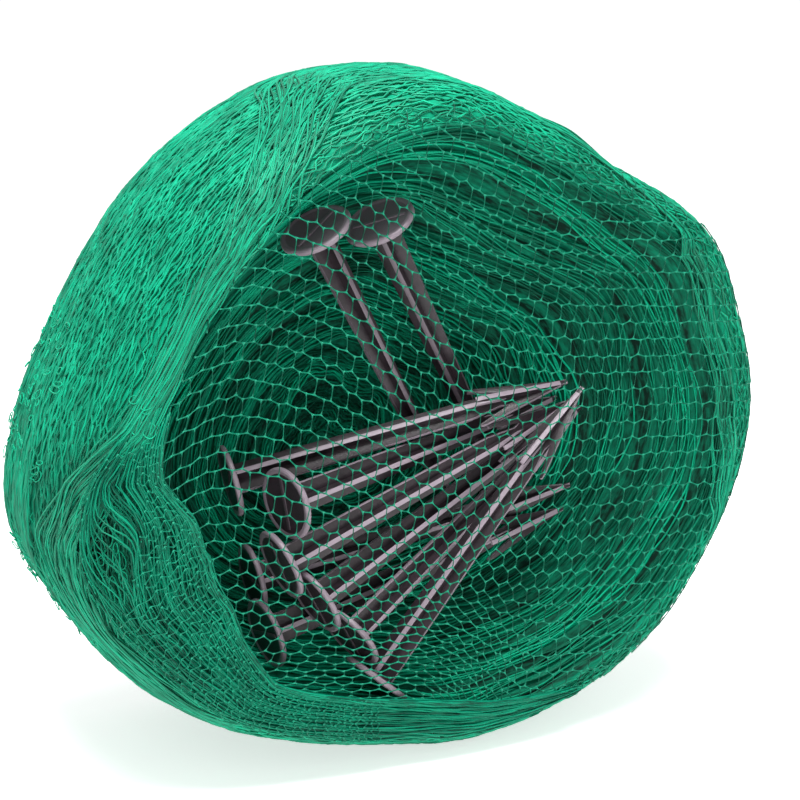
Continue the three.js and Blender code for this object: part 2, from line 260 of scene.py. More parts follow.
def add_piece(name, points, faces, material, values=None, uv=None):
    """An object at the origin, from points in millimetres from the roll's axis and rows of corner numbers.
    Values are numbers for each point, and uv a place for each point on the unrolled net."""
    mesh = bpy.data.meshes.new(name)
    corners = faces.shape[1]
    mesh.vertices.add(len(points))
    mesh.vertices.foreach_set("co", (points * MM + ROLL_AXIS).ravel())
    mesh.loops.add(faces.size)
    mesh.loops.foreach_set("vertex_index", faces.ravel().astype(np.int32))
    mesh.polygons.add(len(faces))
    mesh.polygons.foreach_set("loop_start", np.arange(0, faces.size, corners, dtype=np.int32))
    mesh.update(calc_edges=True)
    mesh.shade_smooth()
    for key, numbers in (values or {}).items():
        attribute = mesh.attributes.new(key, "FLOAT", "POINT")
        attribute.data.foreach_set("value", np.ascontiguousarray(numbers, np.float32).ravel())
    if uv is not None:
        layer = mesh.uv_layers.new(name="unrolled")
        layer.data.foreach_set("uv", uv[faces.ravel()].ravel())
    mesh.materials.append(material)
    piece = bpy.data.objects.new(name, mesh)
    scene.collection.objects.link(piece)
    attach(piece, "root")
    return piece


SKIN = {"round": 240, "pocket": 56, "side": 42, "back": 22, "from": 0.02, "to": 2.97, "sunk": 1.3}
BUNDLES = 15  # of turns, from the pocket's middle to its crest
WANDER_WAVES = np.arange(1, 7)
WANDER_SIZE = 0.17 / WANDER_WAVES**0.6
WANDER_START = np.random.default_rng(7).uniform(0, 2 * pi, (BUNDLES + 2, len(WANDER_WAVES)))


def bundle_wander(bundle, angle):
    """How far a bundle strays from its ring, in bundles: sine waves round the roll, each bundle its own."""
    turn = np.radians(angle)[..., None] * WANDER_WAVES + WANDER_START[bundle]
    return (WANDER_SIZE * np.sin(turn)).sum(-1)


skin_ways = np.concatenate([np.linspace(SKIN["from"], 1, SKIN["pocket"]), np.linspace(1, 2, SKIN["side"])[1:],
                            np.linspace(2, SKIN["to"], SKIN["back"])[1:]])
skin_angle, skin_way = np.meshgrid(np.arange(SKIN["round"]) * 360 / SKIN["round"], skin_ways)
skin_points = roll_surface(skin_angle, skin_way) - SKIN["sunk"] * roll_normal(skin_angle, skin_way)
skin_points[..., 2] = np.maximum(skin_points[..., 2], -ROLL_AXIS[2] / MM)
row_count, column_count = skin_angle.shape
skin_points = np.concatenate([skin_points.reshape(-1, 3), skin_points[0].mean(0)[None],
                              skin_points[-1].mean(0)[None]])


def ring_faces(rows, columns):
    """Quads between neighbouring rings of points that close on themselves."""
    at = np.arange(rows * columns).reshape(rows, columns)
    right = np.roll(at, -1, axis=1)
    return np.stack([at[:-1], at[1:], right[1:], right[:-1]], -1).reshape(-1, 4)


def cap_faces(ring, middle, flip):
    """Quads over pairs of steps of a ring, which meet in its middle."""
    start, half, end = ring[0::2], ring[1::2], np.roll(ring, -2)[0::2]
    order = [np.full(len(start), middle), start, half, end]
    return np.stack(order[::-1] if flip else order, -1)


skin_faces = np.concatenate([
    ring_faces(row_count, column_count),
    cap_faces(np.arange(column_count), row_count * column_count, False),
    cap_faces(np.arange(column_count) + (row_count - 1) * column_count, row_count * column_count + 1, True),
])


def blend_node(tree, factor, low, high):
    """A colour between two: sockets are linked and plain colours are set."""
    mix = tree.nodes.new("ShaderNodeMix")
    mix.data_type = "RGBA"
    tree.links.new(factor, mix.inputs["Factor"])
    for socket, value in (("A", low), ("B", high)):
        if isinstance(value, tuple):
            mix.inputs[socket].default_value = (*value, 1)
        else:
            tree.links.new(value, mix.inputs[socket])
    return mix.outputs["Result"]


def range_node(tree, value, low, high, out_low, out_high):
    """A value moved from one range to another, whose ends are numbers or sockets, and held inside it."""
    node = tree.nodes.new("ShaderNodeMapRange")
    tree.links.new(value, node.inputs["Value"])
    for socket, end in (("From Min", low), ("From Max", high), ("To Min", out_low), ("To Max", out_high)):
        if isinstance(end, (int, float)):
            node.inputs[socket].default_value = end
        else:
            tree.links.new(end, node.inputs[socket])
    return node.outputs["Result"]


def node_group(name, inputs, outputs):
    """An empty shader node group with its sockets, and its input and output nodes."""
    group = bpy.data.node_groups.new(name, "ShaderNodeTree")
    for key, kind in inputs:
        group.interface.new_socket(key, in_out="INPUT", socket_type=kind)
    for key, kind in outputs:
        group.interface.new_socket(key, in_out="OUTPUT", socket_type=kind)
    return group, group.nodes.new("NodeGroupInput").outputs, group.nodes.new("NodeGroupOutput").inputs


VALUE, VECTOR, COLOR = "NodeSocketFloat", "NodeSocketVector", "NodeSocketColor"
NOISE_ENDS = (0.3, 0.7)  # between which most of a noise lies

# Dyed plastic that took its colour unevenly: a tone for each place, and soft patches over it
uneven_dye, given, put_out = node_group(
    "uneven_dye",
    [("Place", VECTOR), ("Tone", VALUE), ("Scale", VALUE), ("Spread", VALUE), ("Dark", COLOR),
     ("Light", COLOR)],
    [("Color", COLOR)])
patches = uneven_dye.nodes.new("ShaderNodeTexNoise")
patches.inputs["Detail"].default_value = 3
uneven_dye.links.new(given["Place"], patches.inputs["Vector"])
uneven_dye.links.new(given["Scale"], patches.inputs["Scale"])
centred = range_node(uneven_dye, patches.outputs["Fac"], *NOISE_ENDS, -0.5, 0.5)
spread_tone = uneven_dye.nodes.new("ShaderNodeMath")
spread_tone.operation = "MULTIPLY_ADD"
uneven_dye.links.new(centred, spread_tone.inputs[0])
uneven_dye.links.new(given["Spread"], spread_tone.inputs[1])
uneven_dye.links.new(given["Tone"], spread_tone.inputs[2])
dye = blend_node(uneven_dye, spread_tone.outputs["Value"], given["Dark"], given["Light"])
uneven_dye.links.new(dye, put_out["Color"])

# The fine drawn grain of plastic thread and of moulded plastic: gloss and a shallow bump
fine_grain, given, put_out = node_group(
    "fine_grain",
    [("Place", VECTOR), ("Scale", VALUE), ("Smooth", VALUE), ("Rough", VALUE), ("Depth", VALUE)],
    [("Roughness", VALUE), ("Normal", VECTOR)])
grain = fine_grain.nodes.new("ShaderNodeTexNoise")
grain.inputs["Detail"].default_value = 2
fine_grain.links.new(given["Place"], grain.inputs["Vector"])
fine_grain.links.new(given["Scale"], grain.inputs["Scale"])
gloss = range_node(fine_grain, grain.outputs["Fac"], *NOISE_ENDS, given["Smooth"], given["Rough"])
fine_grain.links.new(gloss, put_out["Roughness"])
relief = fine_grain.nodes.new("ShaderNodeBump")
relief.inputs["Strength"].default_value = 0.5
fine_grain.links.new(given["Depth"], relief.inputs["Distance"])
fine_grain.links.new(grain.outputs["Fac"], relief.inputs["Height"])
fine_grain.links.new(relief.outputs["Normal"], put_out["Normal"])


def place_group(tree, group, **values):
    """A group's node in a material, with sockets linked and plain numbers and colours set."""
    node = tree.nodes.new("ShaderNodeGroup")
    node.node_tree = group
    for socket, value in values.items():
        if isinstance(value, tuple):
            node.inputs[socket].default_value = (*value, 1)
        elif isinstance(value, (int, float)):
            node.inputs[socket].default_value = value
        else:
            tree.links.new(value, node.inputs[socket])
    return node.outputs


def attribute_node(tree, name):
    """A number that the mesh holds for each of its points or faces."""
    node = tree.nodes.new("ShaderNodeAttribute")
    node.attribute_name = name
    return node.outputs["Fac"]


THREAD_GRAIN = {"scale": 900.0, "depth": 0.0002}


def finish_net(tree, shader, scale, spread, dark, light, smooth, rough, patches_at=None):
    """Dye by the tone attribute and the patches, and the grain, into the shader. The patches lie by the
    object's own places, unless others are given."""
    object_place = tree.nodes.new("ShaderNodeTexCoord").outputs["Object"]
    if patches_at is None:
        patches_at = object_place
    dyed = place_group(tree, uneven_dye, Place=patches_at, Tone=attribute_node(tree, "tone"), Scale=scale,
                       Spread=spread, Dark=dark, Light=light)
    tree.links.new(dyed["Color"], shader.inputs["Base Color"])
    fine = place_group(tree, fine_grain, Place=object_place, Scale=THREAD_GRAIN["scale"], Smooth=smooth,
                       Rough=rough, Depth=THREAD_GRAIN["depth"])
    tree.links.new(fine["Roughness"], shader.inputs["Roughness"])
    tree.links.new(fine["Normal"], shader.inputs["Normal"])


UNROLLED = {"round": 2.6, "across": 150, "stretch": 0.12}  # millimetres to a degree, and to a way of 1
SKIN_TONE = {"pocket": 0.5, "gap": 0.18, "side": 0.8, "back": 0.45, "middles": [0.2, 0.4]}
# The dark end of this colour, reached where the tone is low, is painted shade
deep_layers, tree, shader = new_material("deep_layers", Specular_IOR_Level=0.1)
unrolled = tree.nodes.new("ShaderNodeUVMap")
unrolled.uv_map = "unrolled"
stretch = tree.nodes.new("ShaderNodeMapping")
stretch.inputs["Scale"].default_value = (UNROLLED["stretch"], 1.0, 1.0)
tree.links.new(unrolled.outputs["UV"], stretch.inputs["Vector"])
finish_net(tree, shader, scale=0.9, spread=0.5, dark=(0.0, 0.012, 0.007), light=(0.001, 0.26, 0.14),
           smooth=0.6, rough=0.8, patches_at=stretch.outputs["Vector"])

# The skin's tone is painted shade: dark between the bundles of the peg end, and less so on the side, where
# its threads lie close
skin_bundle = np.clip(np.floor(skin_way * BUNDLES).astype(int) + 1, 1, BUNDLES)
strayed = skin_way * BUNDLES - bundle_wander(skin_bundle, skin_angle)
# painted shade in the gaps between the bundles
between = bell((strayed + 0.5) % 1 - 0.5, SKIN_TONE["gap"])
skin_shade_tone = np.where(skin_way < 1, SKIN_TONE["pocket"] * (1 - between),
                     np.where(skin_way < 2, SKIN_TONE["side"], SKIN_TONE["back"]))
# Painted shade: the skin is darkened in the hollow under the fold
skin_past = np.hypot(skin_points[:-2, 0], skin_points[:-2, 2]) - crest_at(skin_angle.ravel())
skin_shade_tone = skin_shade_tone.ravel() - in_hollow(skin_angle.ravel(), skin_past, skin_points[:-2, 1])
skin_shade_tone = np.concatenate([skin_shade_tone, SKIN_TONE["middles"]])
skin_uv = np.stack([skin_angle * UNROLLED["round"], skin_way * UNROLLED["across"]], -1).reshape(-1, 2)
skin_uv = np.concatenate([skin_uv, [[0, 0], [0, 3 * UNROLLED["across"]]]])
roll_skin = add_piece("roll_skin", skin_points, skin_faces, deep_layers, {"tone": skin_shade_tone}, skin_uv)
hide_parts("wound_roll")

# The threads of the outer turns. The net is squeezed narrow as it is wound, so its threads run side by side
# round the roll and zigzag from knot to knot. Two turns show through each other, with short dark slits.
THREAD = {"radius": (0.34, 0.62), "sides": 3, "cells": 80, "apart": 2.3, "swing": 0.8, "jitter": 0.42,
          "drift_round": 1.2, "drift_across": 1.5, "calm": 12, "wave": 0.25, "uneven": 0.2}


def tubes(paths, normals, radius, sides, closed):
    """Threads round their paths. A corner is the path's point plus the radius times the cosine of its turn
    along the normal and the sine of it across. The open ones are capped."""
    if closed:
        ahead, behind = np.roll(paths, -1, axis=1), np.roll(paths, 1, axis=1)
    else:
        ahead = np.concatenate([paths[:, 1:], paths[:, -1:]], 1)
        behind = np.concatenate([paths[:, :1], paths[:, :-1]], 1)
    run = unit(ahead - behind)
    across = unit(np.cross(run, normals))
    out = np.cross(across, run)
    turn = 2 * pi * np.arange(sides) / sides
    radius = np.broadcast_to(radius, paths.shape[:2])[..., None, None]
    corners = paths[:, :, None] + radius * (
        np.cos(turn)[:, None] * out[:, :, None] + np.sin(turn)[:, None] * across[:, :, None])
    count, steps = paths.shape[:2]
    at = np.arange(count * steps * sides).reshape(count, steps, sides)
    here, there = (at, np.roll(at, -1, axis=1)) if closed else (at[:, :-1], at[:, 1:])
    faces = np.stack([here, np.roll(here, -1, axis=2), np.roll(there, -1, axis=2), there], -1).reshape(-1, 4)
    if not closed:
        faces = np.concatenate([faces, at[:, 0, ::-1], at[:, -1]])
    return corners.reshape(-1, 3), faces


def thread_piece(name, material, paths, normals, tones, radius, sides, closed=True):
    """A piece of threads, with a tone for each place along each thread."""
    corners, faces = tubes(paths, normals, radius, sides, closed)
    tones = np.broadcast_to(tones, paths.shape[:2])
    piece = add_piece(name, corners, faces, material, {"tone": np.repeat(tones.ravel(), sides)})


squeezed_net, tree, shader = new_material(
    "squeezed_net", Specular_IOR_Level=0.15, Sheen_Weight=0.05, Sheen_Roughness=0.5)
finish_net(tree, shader, scale=45.0, spread=0.4, dark=(0.0, 0.13, 0.07), light=(0.0, 0.36, 0.195),
           smooth=0.4, rough=0.6)

# Millimetres across the side, from the front crest, and the way on the skin that each stands for
side_ways = np.linspace(1, 2, 400)
MEASURED_AT = 100.0  # degrees, where the side is plain
side_steps = np.linalg.norm(np.diff(roll_surface(MEASURED_AT, side_ways), axis=0), axis=1)
side_lengths = np.cumsum(np.concatenate([[0], side_steps]))
SIDE_ACROSS = side_lengths[-1]
SWAY = ((3, 0.05), (7, 0.11), (13, -0.17), (23, 0.21))  # periods round the roll, and radians to a millimetre


def sway(angle, across, size, seed):
    """Slow drift over the side: half the sum of sine waves of the turn and the place across, by the size."""
    start = np.random.default_rng(seed).uniform(0, 2 * pi, len(SWAY))
    turn = np.radians(angle)
    return size * sum(np.sin(m * turn + k * across + s) for (m, k), s in zip(SWAY, start)) / 2


def side_threads(name, first, lift, seed):
    """Closed threads round the side, from the first place across it. Each zigzags by the swing, four corners
    to a cell, against its neighbour, drifts with the sway, and is a little thicker, higher and lighter at
    some corners than at others. Under the turned fold they are thinner, and darkened with painted shade."""
    dice = np.random.default_rng(seed)
    steps = 4 * THREAD["cells"]
    across = np.arange(first, SIDE_ACROSS, THREAD["apart"])[:, None]
    index = np.arange(steps)
    near = index * 360 / steps
    angle = near + sway(near, across, THREAD["drift_round"], seed)
    phase = index + 2 * (np.arange(len(across))[:, None] % 2)
    zigzag = np.where(phase % 4 < 2, 1, -1) * THREAD["swing"]
    zigzag = zigzag * (0.75 + 0.5 * sway(angle, across, 1, seed + 4))
    inside = ease(across, 0, THREAD["calm"]) * ease(SIDE_ACROSS - across, 0, THREAD["calm"])
    shift = sway(angle, across, THREAD["drift_across"], seed + 1) * inside
    shift = shift + dice.normal(0, THREAD["jitter"], angle.shape)
    way = np.interp(np.clip(across + zigzag + shift, 0, SIDE_ACROSS), side_lengths, side_ways)
    normal = roll_normal(angle, way)
    high = lift + THREAD["wave"] * sway(angle, across * 3, 1, seed + 3)
    high = high + dice.uniform(-THREAD["uneven"], THREAD["uneven"], angle.shape)
    points = roll_surface(angle, way) + normal * high[..., None]
    points[..., 2] = np.maximum(points[..., 2], -ROLL_AXIS[2] / MM + THREAD["radius"][1])
    dashes = dice.uniform(0, 1, angle.shape)
    tones = -0.1 + 0.55 * (dashes + np.roll(dashes, 1, axis=1)) + dice.uniform(-0.1, 0.1, (len(across), 1))
    past = np.hypot(points[..., 0], points[..., 2]) - crest_at(angle)
    hollow = in_hollow(angle, past, points[..., 1])
    # painted shade in the hollow under the fold, where the threads are also thinner
    tones = tones - hollow
    radius = dice.uniform(*THREAD["radius"], angle.shape) * (1 - 0.6 * hollow)
    thread_piece(name, squeezed_net, points, normal, tones, radius, THREAD["sides"])


side_threads("side_threads_under", first=0.4, lift=-0.9, seed=21)
side_threads("side_threads_over", first=1.5, lift=-0.35, seed=31)

# The threads of the peg end. Here the turns are seen edge on: threads in bundles, which run round the pocket,
# part and close up again, with deep gaps between them, dark with the skin's painted shade.
END_THREAD = {"radius": 0.54, "sides": 3, "swing": 0.08 / 11, "spread": 0.86, "opens": 0.16, "drift": 0.085,
              "sunk": 1.7, "wave": 0.5, "first": 0.07, "last": 0.998}
# Painted light: the pocket's threads are lighter on its low wall, which faces the light
PAINTED_LIGHT_WALL = {"angle": 268, "round": 32, "from": 0.62, "to": 0.85, "lighter": 0.45}  # it faces the light
edge_on_net, tree, shader = new_material("edge_on_net", Specular_IOR_Level=0.12)
finish_net(tree, shader, scale=45.0, spread=0.4, dark=(0.0, 0.07, 0.038), light=(0.0, 0.40, 0.215),
           smooth=0.5, rough=0.7)


def waves(turn, start, size, counts):
    """A sum of sine waves round the roll, each with its own number of periods and its own start, and with the
    size over the root of its place in the row of counts."""
    return sum(size / (i + 1) ** 0.5 * np.sin(m * turn + start[:, i:i + 1]) for i, m in enumerate(counts))


def end_threads(name, bundles, in_bundle, steps, ways, crown, seed):
    """Closed threads round an end, in bundles. A thread's place is its bundle's ring, which wanders, plus its
    own place in the bundle, which spreads and closes, plus a drift of its own and a small zigzag. A bundle's
    middle stands up by the crown, times one less the square of twice the place in it."""
    dice = np.random.default_rng(seed)
    bundle, within = np.meshgrid(np.arange(1, bundles + 1), np.arange(in_bundle), indexing="ij")
    bundle, within = bundle.ravel()[:, None], within.ravel()[:, None]
    angle = np.arange(steps) * 360 / steps + 0 * bundle
    turn = np.radians(angle)
    place_in = (within + 0.5) / in_bundle - 0.5
    of_bundle = dice.uniform(0, 2 * pi, (bundles + 1, 4))[bundle[:, 0]]
    of_thread = dice.uniform(0, 2 * pi, (bundle.size, 4))
    spread = END_THREAD["spread"] + waves(turn, of_bundle, END_THREAD["opens"], (2, 5, 9))
    drift = waves(turn, of_thread, END_THREAD["drift"], (3, 7, 16))
    zigzag = np.where((np.arange(steps) + 2 * within) % 4 < 2, 1, -1) * END_THREAD["swing"]
    wander = bundle_wander(np.broadcast_to(bundle, angle.shape), angle)
    ring = bundle - 0.5 + place_in * spread + drift + wander
    share = np.clip((ring + zigzag) / bundles, END_THREAD["first"], END_THREAD["last"])
    way = ways[0] + (ways[1] - ways[0]) * share
    normal = roll_normal(angle, way)
    high = crown * (1 - (2 * place_in) ** 2) - END_THREAD["sunk"]
    high = high + END_THREAD["wave"] * waves(turn, of_thread, 1, (2, 7))
    points = roll_surface(angle, way) + normal * high[..., None]
    points[..., 2] = np.maximum(points[..., 2], -ROLL_AXIS[2] / MM + END_THREAD["radius"])
    tone = dice.uniform(0.15, 0.6, (bundles + 1, 1))[bundle[:, 0]] + waves(turn, of_bundle, 0.14, (1, 4, 7))
    tone = tone + dice.uniform(-0.2, 0.3, bundle.shape) + dice.uniform(-0.12, 0.12, angle.shape)
    # painted light on the low wall
    lit_wall = bell(angle - PAINTED_LIGHT_WALL["angle"], PAINTED_LIGHT_WALL["round"])
    tone = tone + PAINTED_LIGHT_WALL["lighter"] * lit_wall * ease(way, PAINTED_LIGHT_WALL["from"], PAINTED_LIGHT_WALL["to"])
    thread_piece(name, edge_on_net, points, normal, tone, END_THREAD["radius"], END_THREAD["sides"])


end_threads("pocket_threads", BUNDLES, in_bundle=10, steps=190, ways=(0, 1), crown=2.6, seed=41)
end_threads("back_threads", 10, in_bundle=12, steps=140, ways=(3, 2), crown=2.2, seed=43)

# Strands that lie on the turns. At the left the net drawn over the pegs is gathered on the crest, and a bunch
# of its threads runs down it from the side. At the right a slack outer turn has slipped forward over the rim.
# A bunch's line and spread are rows of the angle round the roll and the way on its skin.
GATHERED = [
    {"line": [[98, 1.56], [106, 1.48], [114, 1.38], [120, 1.286], [133, 1.117], [144, 1.07], [155, 1.08],
              [166, 1.08], [175, 1.1], [184, 1.26], [192, 1.35], [204, 1.34], [216, 1.24], [232, 1.2]],
     "spread": [[98, 0.16], [133, 0.12], [155, 0.055], [170, 0.055], [184, 0.11], [204, 0.07], [232, 0.08]],
     "count": 66, "high": (-0.2, 1.2), "over": 1.6},
    {"line": [[-34, 1.16], [-20, 1.02], [-4, 0.97], [14, 0.969], [32, 0.984], [47, 1.12], [60, 1.19],
              [78, 1.27]],
     "spread": [[-34, 0.05], [-4, 0.022], [47, 0.026], [78, 0.07]],
     "count": 20, "high": (0.2, 1.8), "over": 0},
]


def along(rows, angle):
    """A value from rows of angle and value, with straight runs between them."""
    at, value = np.array(rows).T
    return np.interp(angle, at, value)


GATHERED_THREAD = {"steps": 120, "tucked": 0.12, "sunk": 1.1}
OVER_FOLD = {"from": 158, "full": 172, "falls": 190, "to": 205}  # where a bunch passes over the fold's end
gathered_rng = np.random.default_rng(51)
gathered_points, gathered_normals, gathered_tones = [], [], []
for bunch in GATHERED:
    count = bunch["count"]
    angle = np.linspace(bunch["line"][0][0], bunch["line"][-1][0], GATHERED_THREAD["steps"])[None]
    turn = np.radians(angle)
    start = gathered_rng.uniform(0, 2 * pi, (count, 4))
    side = gathered_rng.uniform(-1, 1, (count, 1)) + waves(turn, start, 0.2, (4, 9, 23))
    way = along(bunch["line"], angle) + along(bunch["spread"], angle) * side
    normal = roll_normal(angle, way)
    high = gathered_rng.uniform(*bunch["high"], (count, 1)) + waves(turn, start[:, ::-1], 0.35, (6, 13))
    over = ease(angle, OVER_FOLD["from"], OVER_FOLD["full"])
    high = high + bunch["over"] * over * (1 - ease(angle, OVER_FOLD["falls"], OVER_FOLD["to"]))
    share = np.linspace(0, 1, GATHERED_THREAD["steps"])
    free = ease(share, 0, GATHERED_THREAD["tucked"]) * ease(1 - share, 0, GATHERED_THREAD["tucked"])
    high = high * free - GATHERED_THREAD["sunk"] * (1 - free)
    gathered_points.append(roll_surface(angle, way) + normal * high[..., None])
    gathered_normals.append(normal)
    dashes = gathered_rng.uniform(-0.15, 0.15, way.shape)
    gathered_tones.append(gathered_rng.uniform(-0.2, 0.75, (count, 1)) + dashes)
gathered = (np.concatenate(part) for part in (gathered_points, gathered_normals, gathered_tones))
thread_piece("gathered_threads", squeezed_net, *gathered, radius=0.4, sides=4, closed=False)

# Loose loops of thread. Where the net is slack, single threads stand out of the turns in small loops: under
# the fold, at the gather, and on the side by the pinch.
LOOP_THREAD = {"steps": 16, "narrow": 0.55, "twist": 0.5}
LOOP_REACH = 150  # of the side from the axis, which makes a length an angle
LOOPS = [
    {"angle": (183, 198), "way": (1.05, 1.24), "size": (3, 7), "high": (0, 2), "count": 20},
    {"angle": (168, 180), "way": (1.0, 1.16), "size": (2.5, 5), "high": (1.5, 3), "count": 16},
    {"angle": (162, 186), "way": (1.46, 1.78), "size": (1, 2.4), "high": (0.2, 1), "count": 60},
    {"angle": (196, 212), "way": (1.44, 1.72), "size": (1, 2.6), "high": (0.2, 1.2), "count": 40},
]
loop_rng = np.random.default_rng(61)
loop_turn = np.arange(LOOP_THREAD["steps"]) * 2 * pi / LOOP_THREAD["steps"]
loop_points, loop_normals = [], []
for patch in LOOPS:
    middle, across, size, high, lean = (
        loop_rng.uniform(low, top, (patch["count"], 1))
        for low, top in (patch["angle"], patch["way"], patch["size"], patch["high"], (0, 2 * pi)))
    long, narrow = size * np.cos(loop_turn), LOOP_THREAD["narrow"] * size * np.sin(loop_turn)
    angle = middle + np.degrees((long * np.cos(lean) - narrow * np.sin(lean)) / LOOP_REACH)
    way = across + (long * np.sin(lean) + narrow * np.cos(lean)) / SIDE_ACROSS
    normal = roll_normal(angle, way)
    high = high + LOOP_THREAD["twist"] * np.sin(loop_turn + 2 * lean)
    loop_points.append(roll_surface(angle, way) + normal * high[..., None])
    loop_normals.append(normal)
thread_piece("loose_loops", squeezed_net, np.concatenate(loop_points), np.concatenate(loop_normals),
             tones=0.95, radius=0.27, sides=3)

# The layer of net drawn over the pegs. One single layer of the same net, pulled from rim to rim over the
# pocket: six-sided cells of thin thread, knotted at each corner. The turns that it comes from hold it.
COVER = {"clear": 1.1, "tight": 0.6, "row": 0.27, "link": 0.23, "knot": 0.4, "sides": 4, "lean": 0.16}
SAG = {"depth": 4, "from": 7, "to": 40}
rim_share = np.linspace(0, 0.985, 200)
rim_y = FRONT * (1 - rim_share ** RIM["power"]) ** (1 / RIM["power"])
rim_lengths = np.concatenate([[0], np.cumsum(np.hypot(np.diff(rim_share * RIM["round"]), np.diff(rim_y)))])


def drape(x, z, clear):
    """Lays flat places of the net on the roll. Inside the crest they stay and hang in a little. Past it their
    distance from the crest is measured round the rim, a superellipse, where the shares outwards and forwards,
    each to the rim's power, add up to one."""
    angle = np.degrees(np.arctan2(z, x))
    past = np.hypot(x, z) - crest_at(angle)
    share = np.interp(past, rim_lengths, rim_share)
    offset = np.where(past < 0, past, share * RIM["round"])
    y = np.interp(past, rim_lengths, rim_y)
    lean = np.arctan2(RIM["round"] * (y / FRONT) ** (RIM["power"] - 1), -FRONT * share ** (RIM["power"] - 1))
    sag = SAG["depth"] * ease(-past, SAG["from"], SAG["to"])
    return polar(crest_at(angle) + offset + clear * np.cos(lean), y - clear * np.sin(lean) + sag, angle)


def mesh_edges(corner_x, corner_z, bow, hang):
    """The threads of a net of six-sided cells, as four places along each. Corners are in rows, half a cell
    apart, and every second one is joined to the row below. A link bows out and a row's thread hangs, by four
    times the share along it times what is left of it."""
    share = np.array([0, 0.25, 0.75, 1.0])
    at = np.arange(corner_x.size).reshape(corner_x.shape)
    row, column = np.indices(at.shape)
    down = at[((row + column) % 2 == 0) & (row > 0)]
    start = np.concatenate([at[:, :-1].ravel(), down])[:, None]
    end = np.concatenate([at[:, 1:].ravel(), down - at.shape[1]])[:, None]
    is_link = np.arange(len(start)) >= len(start) - len(down)
    x, z = (corner.ravel()[start] * (1 - share) + corner.ravel()[end] * share
            for corner in (corner_x, corner_z))
    curve = 4 * share * (1 - share)
    return x + (bow * is_link)[:, None] * curve, z - (hang * ~is_link)[:, None] * curve, is_link


def summed_from_middle(steps):
    """The running sum of steps, nought at the middle of the net."""
    run = np.cumsum(steps)
    return run - run[len(run) // 2]


# The rows slope down to the right over the pegs, and up at the far left. The cells are wider at the left, and
# they are squeezed flat at the lower left, and wider there too. Places are millimetres across and up the net.
CELL_HEIGHT = 7.0
cell_place = np.linspace(-200, 200, 401)
row_slope = -0.05 - 0.47 * bell(cell_place + 42, 62) + 0.6 * (1 - ease(cell_place, -132, -98))
cell_width = 6.9 + 1.0 * (1 - ease(cell_place, -110, -30)) + 0.3 * ease(cell_place, 30, 100)
squeezed_height = 2.7 + 1.9 * ease(cell_place, -90, -73) + 2.4 * ease(cell_place, -63, -22)
cell_row, half_column = np.meshgrid(np.arange(-38, 25), np.arange(-44, 45), indexing="ij")
flat_x = np.interp(half_column / 2, summed_from_middle(1 / cell_width), cell_place)
level = cell_row + np.interp(flat_x, cell_place, summed_from_middle(row_slope)) / CELL_HEIGHT
squeezed = 1 - ease(flat_x, -20, 50)
flat_z = squeezed * np.interp(level, summed_from_middle(1 / squeezed_height), cell_place)
flat_z = flat_z + (1 - squeezed) * CELL_HEIGHT * level
zigzag = 0.45 + 0.6 * bell(flat_x - 25, 45) * bell(flat_z + 35, 40) + 0.4 * bell(flat_z + 55, 20)
flat_x = flat_x + 0.22 * (flat_x + 45) * (1 - ease(flat_z, -90, -68)) * squeezed
flat_z = flat_z + np.where((cell_row + half_column) % 2 == 0, -zigzag, zigzag)
flat_x = flat_x + COVER["lean"] * flat_z
cover_rng = np.random.default_rng(11)
flat_x = flat_x + cover_rng.normal(0, 0.28, flat_x.shape)
flat_z = flat_z + cover_rng.normal(0, 0.22, flat_z.shape)
edge_x, edge_z, is_link = mesh_edges(flat_x, flat_z, bow=0.35, hang=0.1)
COVER_PAST = [20, 20, 12, 8, 4, 2, 0, 0, 2, 6, 12, 18]  # past the crest, every 30 degrees from +X
edge_angle = np.degrees(np.arctan2(edge_z[:, 1], edge_x[:, 1]))
past = np.hypot(edge_x, edge_z).max(1) - crest_at(edge_angle)
kept = past < around(COVER_PAST, edge_angle % 360) + cover_rng.uniform(-3, 3, len(past))
edge_x, edge_z, is_link = edge_x[kept], edge_z[kept], is_link[kept, None]
edge_past = np.hypot(edge_x, edge_z) - crest_at(np.degrees(np.arctan2(edge_z, edge_x)))
cover_clear = COVER["clear"] - COVER["tight"] * ease(edge_past, 0, 8)
cover_paths = drape(edge_x, edge_z, cover_clear)
cover_normal = unit(drape(edge_x, edge_z, cover_clear + 1) - cover_paths)
at_knot = np.array([1.0, 0.0, 0.0, 1.0])
thin = np.where(is_link, COVER["link"], COVER["row"])
thick = thin + (COVER["knot"] - thin) * at_knot
corners, faces = tubes(cover_paths, cover_normal, thick, COVER["sides"], False)
cover_knots = np.repeat(np.broadcast_to(0.8 * at_knot, edge_x.shape).ravel(), COVER["sides"])
cover_tones = np.where(is_link, 0.15, 0.42) + cover_rng.uniform(-0.15, 0.15, is_link.shape)
cover_tones = np.repeat(np.broadcast_to(cover_tones, edge_x.shape).ravel(), COVER["sides"])

drawn_net, tree, shader = new_material("drawn_net", Specular_IOR_Level=0.15)
finish_net(tree, shader, scale=60.0, spread=0.5, dark=(0.0, 0.045, 0.026), light=(0.0, 0.20, 0.11),
           smooth=0.35, rough=0.55)
thread_green = shader.inputs["Base Color"].links[0].from_socket
knot_green = blend_node(tree, attribute_node(tree, "knot"), thread_green, (0.02, 0.30, 0.18))
tree.links.new(knot_green, shader.inputs["Base Color"])

cover_values = {"knot": cover_knots, "tone": cover_tones}
cover_piece = add_piece("cover_threads", corners, faces, drawn_net, cover_values)
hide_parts("cover_net")

